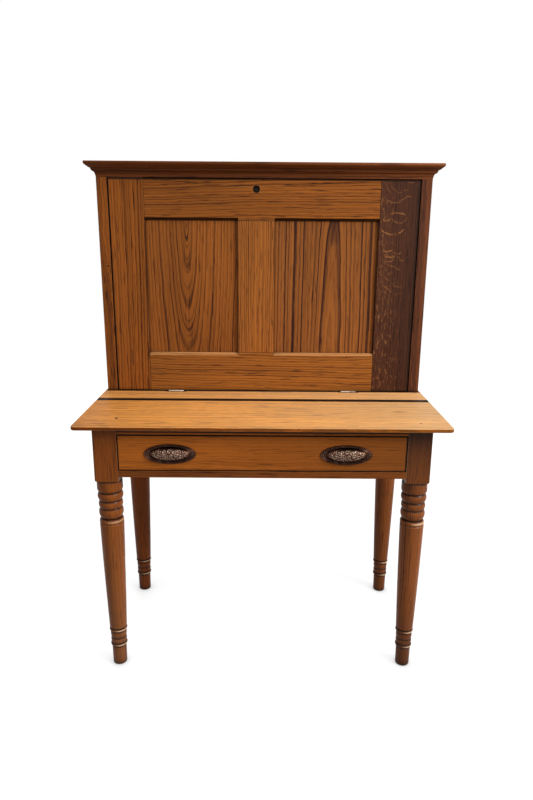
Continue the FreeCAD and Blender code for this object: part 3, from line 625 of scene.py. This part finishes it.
class WoodGraph(Graph):
    """The tree of the pattern that all boards share, with the places that its parts start from."""

    def __init__(self, tree):
        super().__init__(tree)
        self.given = self.add("NodeGroupInput").outputs
        self.seed = self.given["Seed"]
        place = self.axes(self.given["Place"])
        self.along, self.across, self.depth = place["X"], place["Y"], place["Z"]
        self.seeded = self.vector_math("ADD", self.given["Place"], self.scaled(seed_step, self.seed))

    def grain_noise(self, scales, start=None, **settings):
        """A noise with its own scales along and across the grain."""
        start = self.seeded if start is None else start
        place = self.vector_math("MULTIPLY", start, (scales[0], scales[1], scales[1]))
        return self.noise(place, **settings)

    def bands(self, phases, rise_levels, fall_levels):
        """A band that ends sharply in each ring, some rings stronger than others."""
        fraction = self.math("FRACT", phases)
        which = self.math("ADD", self.math("FLOOR", phases), self.seed)
        strength = self.add("ShaderNodeTexWhiteNoise", {"W": which}, noise_dimensions="1D")
        strength = strength.outputs["Value"]
        strength = self.math("MULTIPLY_ADD", strength, 1.0 - ring_weakest_share, ring_weakest_share)
        fall = self.step(fraction, fall_levels, 1.0, 0.0)
        return self.times(self.step(fraction, rise_levels), fall, strength)

    def rings(self):
        """The count of growth rings from the pith, and the place bent as the grain wanders."""
        wander = self.grain_noise(wander_scales, detail=rich_detail, output="Color")
        wander = self.add("ShaderNodeSeparateColor", {"Color": wander}).outputs
        side = self.times(self.swing(wander[0]), self.given["wobble"])
        side = self.math("MULTIPLY_ADD", self.swing(self.grain_noise(wave_scales)), wave_height, side)
        side = self.math("MULTIPLY_ADD", self.swing(self.grain_noise(ripple_scales)), ripple_height, side)
        deep = self.times(self.swing(wander[1]), self.given["wobble"])
        from_pith = self.math("ADD", self.math("SUBTRACT", self.across, self.given["pith_across"]), side)
        rise = self.math("MULTIPLY_ADD", self.given["tilt"], self.along, self.given["pith_depth"])
        under_face = self.math("ADD", self.math("ADD", self.depth, rise), deep)
        radius = self.vector_math("LENGTH", self.joined(from_pith, under_face, 0.0))
        count = self.math("DIVIDE", radius, self.given["ring"])
        uneven = self.swing(self.noise(self.joined(self.times(count, ring_spread), self.seed, 0.0)))
        phase = self.math("MULTIPLY_ADD", uneven, ring_unevenness, count)
        bent = self.vector_math("ADD", self.seeded, self.joined(0.0, side, deep))
        return phase, bent

    def grain(self, phase, bent):
        """Shares of late wood, fine lines and pores, and of all that is dark together."""
        patch = self.step(self.grain_noise(line_patch_scales, bent), line_patch_levels, line_floor_share, 1.0)
        late = self.bands(phase, late_rise_levels, late_fall_levels)
        ramp = self.step(self.math("FRACT", phase), ramp_levels)
        late = self.math("MULTIPLY_ADD", ramp, ramp_share, self.times(late, patch, 1.0 - ramp_share))
        fine_line = self.bands(self.times(phase, fine_ring_count), fine_rise_levels, fine_fall_levels)
        fine_line = self.times(fine_line, patch)
        streak = self.step(self.grain_noise(streak_scales, bent, detail=rich_detail), streak_levels)
        dashes = self.step(self.grain_noise(dash_scales, bent, detail=smooth_detail), dash_levels)
        pores = self.step(self.grain_noise(pore_scales, bent, detail=smooth_detail), pore_levels)
        fibre = self.times(fine_line, fine_line_share)
        for kind, share in ((streak, streak_share), (dashes, dash_share), (pores, pore_share)):
            fibre = self.math("MULTIPLY_ADD", kind, share, fibre)
        fibre = self.times(fibre, self.given["streaks"])
        dark = self.math("MINIMUM", self.math("MULTIPLY_ADD", late, self.given["rings"], fibre), 1.0)
        return late, fine_line, pores, dark

    def toned(self, colour):
        """A colour with broad changes of tone, lighter or darker along the board and across it, and washed
        paler by bleach and painted sheen.
        """
        tone = self.step(self.grain_noise(tone_scales), tone_levels, *tone_shares)
        fade = self.math("MULTIPLY_ADD", self.along, self.given["fade"], 1.0)
        fade = self.math("SUBTRACT", fade, self.times(self.along, self.along, self.given["end_fade"]))
        fade = self.math("MULTIPLY_ADD", self.across, self.given["side_fade"], fade)
        colour = self.scaled(colour, self.times(tone, fade))
        # Bleach and painted sheen: a pale wash towards the worn colour that grows along the board.
        bleach_and_sheen_share = self.math("MULTIPLY_ADD", self.along, self.given["bleach_and_sheen_slope"], self.given["bleach_and_sheen"])
        return self.mix(self.math("MAXIMUM", bleach_and_sheen_share, 0.0), colour, self.given["worn_and_sheen"])

    def ray_figure(self):
        """Share of ray flecks, dashes across the grain that curve up at their ends, and of scribbles."""
        sideways = self.math("SUBTRACT", self.across, fleck_shift)
        sag = self.math("MULTIPLY_ADD", self.times(sideways, sideways), -fleck_curve, self.along)
        uneven = self.grain_noise(fleck_scales, detail=rich_detail)
        phase = self.math("MULTIPLY_ADD", uneven, fleck_unevenness, self.math("DIVIDE", sag, fleck_spacing))
        fleck = self.bands(phase, fleck_rise_levels, fleck_fall_levels)
        unbroken = self.step(self.grain_noise(fleck_break_scales, detail=rich_detail), fleck_break_levels)
        patch = self.math("MULTIPLY_ADD", self.along, fleck_patch_slope, self.grain_noise(fleck_patch_scales))
        patch = self.step(patch, fleck_patch_levels)
        side = self.math("MULTIPLY_ADD", self.along, -fleck_side_slope, sideways)
        side = self.step(side, fleck_side_levels, 1.0, 0.0)
        fleck = self.times(fleck, unbroken, patch, side, self.given["flecks"])
        scribble = self.grain_noise(scribble_scales, detail=rich_detail, distortion=scribble_distortion)
        side = self.math("MULTIPLY_ADD", self.along, scribble_side_slope, sideways)
        side = self.step(side, scribble_side_levels, 1.0, 0.0)
        scribble = self.times(self.step(scribble, scribble_levels), side, self.given["scribbles"])
        return self.math("MAXIMUM", fleck, scribble)

    def weathered_and_shaded(self, colour):
        """A colour with painted shade on its edges and undersides, rubbed corners, and upper slopes made pale
        by wear and painted highlight.
        """
        # Painted shade: edges darker than the broad face, and faces turned down darker still.
        edge = self.times(self.step(self.given["Face turn"], edge_levels, 1.0, 0.0), self.given["edge_shade"])
        colour = self.mix(edge, colour, self.vector_math("MULTIPLY", colour, edge_shade_tint))
        under = self.times(self.step(self.given["Upward"], under_levels, 1.0, 0.0), self.given["under_shade"])
        colour = self.scaled(colour, self.math("MULTIPLY_ADD", under, under_darkest_share - 1.0, 1.0))
        soft_normal = self.add("ShaderNodeBevel", {"Radius": rub_radius}, samples=rub_samples)
        true_normal = self.add("ShaderNodeNewGeometry")
        likeness = self.vector_math("DOT_PRODUCT", soft_normal.outputs[0], true_normal.outputs["Normal"])
        turn = self.math("SUBTRACT", 1.0, likeness)
        rubbed = self.step(self.grain_noise(rub_scales, detail=rich_detail), rub_levels)
        corner = self.times(self.step(turn, rub_turn_levels), rubbed, self.given["wear"])
        # Upper slopes made pale, partly by wear and partly by painted highlight.
        slope = self.times(self.step(self.given["Upward"], upper_wear_and_highlight_levels), self.given["upper_wear_and_highlight"])
        return self.mix(self.math("MAXIMUM", corner, slope), colour, self.given["worn_and_sheen"])


def wood_group():
    """The pattern that every board shares: rings, grain lines, pores, ray flecks, wear, painted highlight and
    painted shade.
    """
    tree = bpy.data.node_groups.new("wood", "ShaderNodeTree")
    tree.interface.new_socket("Place", in_out="INPUT", socket_type="NodeSocketVector")
    for name in ("Seed", "Face turn", "Upward", *plain_cut):
        tree.interface.new_socket(name, in_out="INPUT", socket_type="NodeSocketFloat")
    for name in ("light", "dark", "worn_and_sheen"):
        tree.interface.new_socket(name, in_out="INPUT", socket_type="NodeSocketColor")
    tree.interface.new_socket("Color", in_out="OUTPUT", socket_type="NodeSocketColor")
    for name in ("Roughness", "Height"):
        tree.interface.new_socket(name, in_out="OUTPUT", socket_type="NodeSocketFloat")
    graph = WoodGraph(tree)
    late, fine_line, pores, dark = graph.grain(*graph.rings())
    colour = graph.toned(graph.mix(dark, graph.given["light"], graph.given["dark"]))
    colour = graph.mix(graph.ray_figure(), colour, graph.given["worn_and_sheen"])
    # Painted shade darkens the wood in gaps and corners.
    colour = graph.corner_shaded(graph.weathered_and_shaded(colour), graph.given["corner_shade_reach"])
    roughness = graph.math("MULTIPLY_ADD", dark, rough_of_dark, rough_base)
    roughness = graph.math("MULTIPLY_ADD", pores, rough_of_pores, roughness)
    height = graph.math("MULTIPLY_ADD", late, -late_drop_share, 1.0)
    height = graph.math("MULTIPLY_ADD", fine_line, -fine_line_drop_share, height)
    height = graph.math("MULTIPLY_ADD", pores, -pore_drop_share, height)
    graph.add("NodeGroupOutput", {"Color": colour, "Roughness": roughness, "Height": height})
    return tree


def with_arcs(graph, colour, place, axes, arcs, worn_and_sheen):
    """A colour with broad ray arcs that waver and break."""
    wobble = graph.swing(graph.noise(graph.scaled(place, arc_wobble_scale)))
    unbroken = graph.step(graph.noise(graph.scaled(place, arc_break_scale)), arc_break_levels)
    for x, z, half_width, rise, width, share in arcs:
        side = graph.math("DIVIDE", graph.math("SUBTRACT", axes["X"], x), half_width)
        above = graph.math("MULTIPLY_ADD", wobble, arc_wobble, graph.math("SUBTRACT", axes["Z"], z))
        above = graph.math("MULTIPLY_ADD", graph.times(side, side), -rise, above)
        ends = graph.step(graph.math("ABSOLUTE", side), arc_end_levels, 1.0, 0.0)
        arc = graph.line(graph.math("ABSOLUTE", above), width, share)
        colour = graph.mix(graph.times(arc, ends, unbroken), colour, worn_and_sheen)
    return colour


def with_marks(graph, colour, cut, given, on_face, worn_and_sheen):
    """A board's colour with its own spots, painted shade round the hinge leaves, ray arcs, joint lines, lines
    of painted shade and shadow, and rings made pale by wear and painted highlight.
    """
    dark = rgba(mark_and_shade_colour)
    place = given["Object"]
    axes = graph.axes(place)
    for point, sizes, core_share, share in cut.get("spots", ()):
        away = graph.vector_math("DIVIDE", graph.vector_math("SUBTRACT", place, point), sizes)
        away = graph.vector_math("LENGTH", away)
        colour = graph.mix(graph.step(away, (core_share, 1.0), share, 0.0), colour, dark)
    # Painted shade round the hinge leaves.
    for low, high in cut.get("shade_outlines", ()):
        beside = graph.math("SUBTRACT", graph.away(axes["X"], (low.x + high.x) / 2), (high.x - low.x) / 2)
        before = graph.math("SUBTRACT", graph.away(axes["Y"], (low.y + high.y) / 2), (high.y - low.y) / 2)
        outside = graph.math("MAXIMUM", beside, before)
        colour = graph.mix(graph.line(outside, hinge_shade_width, joint_and_shade_line_share), colour, dark)
    if "arcs" in cut:
        colour = with_arcs(graph, colour, place, axes, cut["arcs"], worn_and_sheen)
    # Dark joint lines, and lines of painted shade and shadow.
    lines = [(*seam, 1.0) for seam in cut.get("seams_and_shade_lines", ())]
    lines += [(*seam, on_face) for seam in cut.get("face_seams", ())]
    for axis, level, width, share, side_share in lines:
        line = graph.times(graph.line(graph.away(axes[axis], level), width, share), side_share)
        colour = graph.mix(line, colour, dark)
    # Rings made pale by wear and by painted highlight on the side that faces the light.
    for level, width, share in cut.get("wear_and_highlights", ()):
        towards = graph.vector_math("DOT_PRODUCT", given["Normal"], wear_and_highlight_direction)
        wear_and_highlight = graph.line(graph.away(axes["Z"], level), width, share)
        colour = graph.mix(graph.times(wear_and_highlight, graph.step(towards, wear_and_highlight_facing_levels)), colour, worn_and_sheen)
    return colour


def new_material(name):
    """An empty material and the graph of its tree."""
    material = bpy.data.materials.new(name)
    material.use_nodes = True
    material.node_tree.nodes.clear()
    return material, Graph(material.node_tree)


def wood_material(name, pattern_tree, seed):
    """A board's own wood: the shared pattern laid along its grain, in its colours and with its marks."""
    wood, grain, face, cut = boards[name]
    material, graph = new_material("wood_" + name)
    across = next(axis for axis in "XYZ" if axis not in (grain, face))
    low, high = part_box(name)
    given = graph.add("ShaderNodeTexCoord").outputs
    axes = graph.axes(graph.vector_math("SUBTRACT", given["Object"], tuple((low + high) / 2)))
    normal = graph.axes(given["Normal"])
    face_turn = graph.math("ABSOLUTE", normal[face])
    inputs = {
        "Place": graph.joined(axes[grain], axes[across], axes[face]),
        "Seed": seed,
        "Face turn": face_turn,
        "Upward": normal["Z"],
        "worn_and_sheen": rgba(woods[wood]["worn_and_sheen"]),
    }
    for key, plain in plain_cut.items():
        inputs[key] = cut.get(key, plain)
    for part in ("light", "dark"):
        tone = cut.get("tone", plain_tone)
        inputs[part] = rgba(value * share for value, share in zip(woods[wood][part], tone))
    pattern = graph.add("ShaderNodeGroup", inputs, node_tree=pattern_tree).outputs
    on_face = graph.step(face_turn, edge_levels)
    graph.principled({
        "Base Color": with_marks(graph, pattern["Color"], cut, given, on_face, inputs["worn_and_sheen"]),
        "Roughness": pattern["Roughness"],
        "Normal": graph.bump(pattern["Height"], wood_bump, wood_bump_depth),
        "Specular IOR Level": wood_specular,
        "Coat Weight": cut.get("gloss", plain_gloss),
        "Coat Roughness": coat_roughness,
    })
    return material


def metal_material(name, bright, dull, rough):
    """Old metal: dull patches over a brighter ground, with fine scratches and painted shade in its corners.
    """
    material, graph = new_material(name)
    place = graph.add("ShaderNodeTexCoord").outputs["Object"]
    patches = graph.scaled(place, metal_patch_scale)
    patches = graph.noise(patches, detail=metal_patch_detail, roughness=metal_patch_roughness)
    scratches = graph.noise(graph.vector_math("MULTIPLY", place, metal_scratch_scales))
    dull_share = graph.step(patches, metal_patch_levels)
    roughness = graph.math("MULTIPLY_ADD", dull_share, metal_dull_roughness, rough)
    roughness = graph.math("MULTIPLY_ADD", scratches, metal_scratch_roughness, roughness)
    graph.principled({
        # Painted shade darkens the metal in its corners.
        "Base Color": graph.corner_shaded(graph.mix(dull_share, rgba(bright), rgba(dull)), metal_corner_shade_reach),
        "Roughness": roughness,
        "Normal": graph.bump(graph.math("ADD", patches, scratches), metal_bump, metal_bump_depth),
        "Metallic": metallic,
    })
    return material


def relief_material():
    """Antique brass of the pulls: dark in the hollows, rubbed bright on the raised ornament."""
    material, graph = new_material("antique_brass_relief")
    place = graph.add("ShaderNodeTexCoord").outputs["Object"]
    relief = graph.add("ShaderNodeAttribute", attribute_name="relief").outputs["Fac"]
    speckle = graph.scaled(place, brass_speckle_scale)
    speckle = graph.noise(speckle, detail=brass_speckle_detail, roughness=brass_speckle_roughness)
    patina = graph.noise(graph.scaled(place, brass_patina_scale), detail=rich_detail)
    lifted = graph.math("MULTIPLY_ADD", graph.swing(speckle), brass_speckle_reach, relief)
    lifted = graph.math("MULTIPLY_ADD", graph.swing(patina), brass_patina_reach, lifted)
    rubbed = graph.step(lifted, brass_rub_levels)
    ground = graph.mix(graph.step(lifted, brass_copper_levels), rgba(brass_hollow), rgba(brass_copper))
    graph.principled({
        # Painted shade darkens the brass in gaps and corners; the dark hollows are its patina.
        "Base Color": graph.corner_shaded(graph.mix(rubbed, ground, rgba(brass_rubbed)), metal_corner_shade_reach),
        "Roughness": graph.math("MULTIPLY_ADD", rubbed, -brass_rub_polish, brass_roughness),
        "Normal": graph.bump(speckle, metal_bump, metal_bump_depth),
        "Metallic": metallic,
        "Specular Tint": rgba(brass_edge_tint),
    })
    return material


def dress(node, material):
    node.data.materials.clear()
    node.data.materials.append(material)


def round_edges(node):
    """Joins the solid's faces at their edges and rounds these a little."""
    weld = node.modifiers.new("weld", "WELD")
    weld.merge_threshold = weld_reach
    rounding = node.modifiers.new("edges", "BEVEL")
    rounding.width = edge_round
    rounding.segments = edge_round_steps
    rounding.limit_method = "ANGLE"
    rounding.angle_limit = math.radians(edge_round_degrees)
    rounding.harden_normals = True


def dress_boards():
    """Gives every board its wood and rounds its edges; the turned legs keep theirs."""
    pattern_tree = wood_group()
    for seed, name in enumerate(boards, start=1):
        dress(nodes[name], wood_material(name, pattern_tree, seed))
        if name not in leg_cuts:
            round_edges(nodes[name])


def dress_metal():
    """Gives the hinges, screws and lock their metals."""
    materials = {slot: metal_material(*values) for slot, values in metals.items()}
    for record_part in frame["record"]["subparts"]:
        material = materials.get(record_part["material_slot"])
        if material:
            dress(nodes[record_part["node"]], material)


def bump_at(distance, width):
    """A round ridge: 1 on its line, 0 at its width."""
    near = max(0.0, 1.0 - (distance / width) ** 2)
    return near * near


def ornament(x, z):
    """Height share of the embossed scrolls at a point of the hood's front view."""
    best = 0.0
    turn_gap = scroll_radius / scroll_turns
    for row, row_z in enumerate(scroll_rows):
        offset = scroll_pitch / 2 * (row % 2)
        column = round((x - offset) / scroll_pitch)
        hand = 1 if (row + column) % 2 else -1
        from_x = (x - offset - column * scroll_pitch) * hand
        from_z = z - row_z
        distance = math.hypot(from_x, from_z)
        angle = math.atan2(from_z, from_x) + scroll_turn_step * (row + column)
        angle_share = angle % math.tau / math.tau
        for turn in range(math.ceil(scroll_turns)):
            ridge = turn_gap * (angle_share + turn)
            if ridge < scroll_radius:
                best = max(best, bump_at(distance - ridge, scroll_line))
    return best


def hood_mesh(bm, relief, pull_size):
    """The hood's outer face, swept about an axis behind the drawer front, with an embossed oval field."""
    half = pull_size.x * hood_length_share / 2
    half_height = pull_size.z * hood_height_share / 2
    depth = pull_size.y - emboss_height
    field_half = pull_size.x * field_length_share / 2
    field_half_height = pull_size.z * field_height_share / 2
    field_rise = pull_size.z * field_rise_share
    axis_back = (half_height ** 2 - depth ** 2) / (2 * depth)
    lip = math.radians(hood_lip_degrees)
    columns, rows = hood_steps
    grid = []
    for column in range(columns + 1):
        across = math.sin((column / columns - 1 / 2) * math.pi)
        x = half * across
        sweep_radius = axis_back + depth * math.sqrt(max(0.0, 1 - across ** 2))
        start = math.acos(min(1.0, axis_back / sweep_radius))
        end = -min(lip, start)
        line = []
        for row in range(rows + 1):
            angle = start + (end - start) * (row / rows)
            z = sweep_radius * math.sin(angle)
            inside = 1 - (x / field_half) ** 2 - ((z - field_rise) / field_half_height) ** 2
            border = min(1.0, max(0.0, inside / field_edge_share))
            raised = ornament(x, z) * border
            lift = sweep_radius + emboss_height * raised
            vertex = bm.verts.new((x, axis_back - lift * math.cos(angle), lift * math.sin(angle)))
            vertex[relief] = hood_relief + ground_relief * border + field_relief * raised
            line.append(vertex)
        grid.append(line)
    for left, right in zip(grid, grid[1:]):
        for row in range(rows):
            bm.faces.new((left[row], left[row + 1], right[row + 1], right[row]))


def flange_mesh(bm, relief, length, height):
    """The oval flange with its raised rims; its last loop lies on the drawer front."""
    rings, segments = flange_steps
    loops = []
    levels = [flange_inner_share + (1 - flange_inner_share) * ring / rings for ring in range(rings + 1)]
    for level in levels + [1.0]:
        is_back = len(loops) > rings
        rim = max(bump_at(level - share, rim_width_share) for share in rim_shares)
        depth = 0.0 if is_back else flange_thickness + rim * rim_height
        loop = []
        for segment in range(segments):
            turn = math.tau * segment / segments
            x = length / 2 * level * math.cos(turn)
            z = height / 2 * level * math.sin(turn)
            vertex = bm.verts.new((x, -depth, z))
            vertex[relief] = flange_relief + rim_relief * rim
            loop.append(vertex)
        loops.append(loop)
    for inner, outer in zip(loops, loops[1:]):
        for segment in range(segments):
            following = (segment + 1) % segments
            bm.faces.new((inner[segment], outer[segment], outer[following], inner[following]))


def make_pull(name, material):
    """One embossed cup pull in the place of its CAD node."""
    low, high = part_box(name)
    size = high - low
    bm = bmesh.new()
    relief = bm.verts.layers.float.new("relief")
    hood_mesh(bm, relief, size)
    hood_faces = list(bm.faces)
    flange_mesh(bm, relief, size.x, size.z)
    bmesh.ops.recalc_face_normals(bm, faces=bm.faces)
    bmesh.ops.solidify(bm, geom=hood_faces, thickness=hood_wall)
    mesh = bpy.data.meshes.new(name + "_embossed")
    bm.to_mesh(mesh)
    bm.free()
    for polygon in mesh.polygons:
        polygon.use_smooth = True
    mesh.materials.append(material)
    pull = bpy.data.objects.new(name + "_embossed", mesh)
    bpy.context.scene.collection.objects.link(pull)
    pull.location = ((low.x + high.x) / 2, high.y, (low.z + high.z) / 2)
    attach(pull, "drawer")
    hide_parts(name)


def seen_share(graph):
    """1 for rays that show the background: from the camera, mirrored or through glass."""
    rays = graph.add("ShaderNodeLightPath").outputs
    seen = graph.math("MAXIMUM", rays["Is Camera Ray"], rays["Is Glossy Ray"])
    return graph.math("MAXIMUM", seen, rays["Is Transmission Ray"])


def make_stage():
    """A pale floor that keeps the desk's shadow, with a painted contact shadow round the feet, and reads as
    white around it.
    """
    bpy.ops.mesh.primitive_plane_add(size=floor_size, location=(0, 0, 0))
    floor = bpy.context.object
    floor.name = "studio_floor"
    material, graph = new_material("studio_floor")
    paint = graph.add("ShaderNodeBsdfDiffuse", {"Color": rgba(floor_colour)})
    away = graph.vector_math("LENGTH", graph.add("ShaderNodeTexCoord").outputs["Object"])
    lift = graph.step(away, floor_lift_reach, *floor_lifts)
    # Painted contact shadow: the floor's glow dims where it is sheltered near the feet.
    lift = graph.times(lift, graph.sheltered(contact_shadow_reach, contact_shadow_levels, contact_shadow_darkest_share))
    glow = graph.add("ShaderNodeEmission", {"Strength": graph.times(seen_share(graph), lift)})
    both = graph.add("ShaderNodeAddShader")
    graph.feed(both.inputs[0], paint.outputs[0])
    graph.feed(both.inputs[1], glow.outputs[0])
    graph.add("ShaderNodeOutputMaterial", {"Surface": both.outputs[0]})
    floor.data.materials.append(material)


def make_world():
    """Soft light from all round, with white behind the desk."""
    world = bpy.data.worlds.new("studio")
    world.use_nodes = True
    world.node_tree.nodes.clear()
    bpy.context.scene.world = world
    graph = Graph(world.node_tree)
    sky = graph.add("ShaderNodeBackground", {"Color": rgba(white), "Strength": sky_strength})
    backdrop = graph.add("ShaderNodeBackground", {"Color": rgba(white), "Strength": backdrop_strength})
    either = graph.add("ShaderNodeMixShader", {"Fac": seen_share(graph)})
    graph.feed(either.inputs[1], sky.outputs[0])
    graph.feed(either.inputs[2], backdrop.outputs[0])
    graph.add("ShaderNodeOutputWorld", {"Surface": either.outputs[0]})


def make_lamp(name, place, size, watts):
    """A round area lamp that aims at the desk."""
    lamp = bpy.data.lights.new(name, "AREA")
    lamp.shape = "DISK"
    lamp.size = size
    lamp.energy = watts
    lamp_object = bpy.data.objects.new(name, lamp)
    bpy.context.scene.collection.objects.link(lamp_object)
    lamp_object.location = place
    lamp_object.visible_glossy = name not in lamps_without_mirror_image
    towards = Vector(light_target) - Vector(place)
    lamp_object.rotation_euler = towards.to_track_quat("-Z", "Y").to_euler()


def make_camera():
    """The photograph's view."""
    up = Vector((0, 0, 1))
    right = Vector((math.cos(camera_turn), math.sin(camera_turn), 0))
    level = Vector((-math.sin(camera_turn), math.cos(camera_turn), 0))
    forward = math.cos(camera_pitch) * level - math.sin(camera_pitch) * up
    down = -math.cos(camera_pitch) * up - math.sin(camera_pitch) * level
    side = math.cos(camera_roll) * right + math.sin(camera_roll) * down
    lower = -math.sin(camera_roll) * right + math.cos(camera_roll) * down
    camera = bpy.data.cameras.new("photo_view")
    camera.sensor_fit = "VERTICAL"
    camera.sensor_height = sensor_height_mm
    camera.lens = camera_focal_pixels / picture_height_pixels * sensor_height_mm
    camera_object = bpy.data.objects.new("photo_view", camera)
    bpy.context.scene.collection.objects.link(camera_object)
    turn = Matrix((side, -lower, -forward)).transposed().to_4x4()
    camera_object.matrix_world = Matrix.Translation(camera_place) @ turn
    bpy.context.scene.camera = camera_object


dress_boards()
dress_metal()
brass = relief_material()
make_pull("left_pull", brass)
make_pull("right_pull", brass)
make_stage()
make_world()
for lamp_name, lamp_values in lamps.items():
    make_lamp(lamp_name, *lamp_values)
make_camera()
bpy.context.scene.view_settings.view_transform = "Standard"
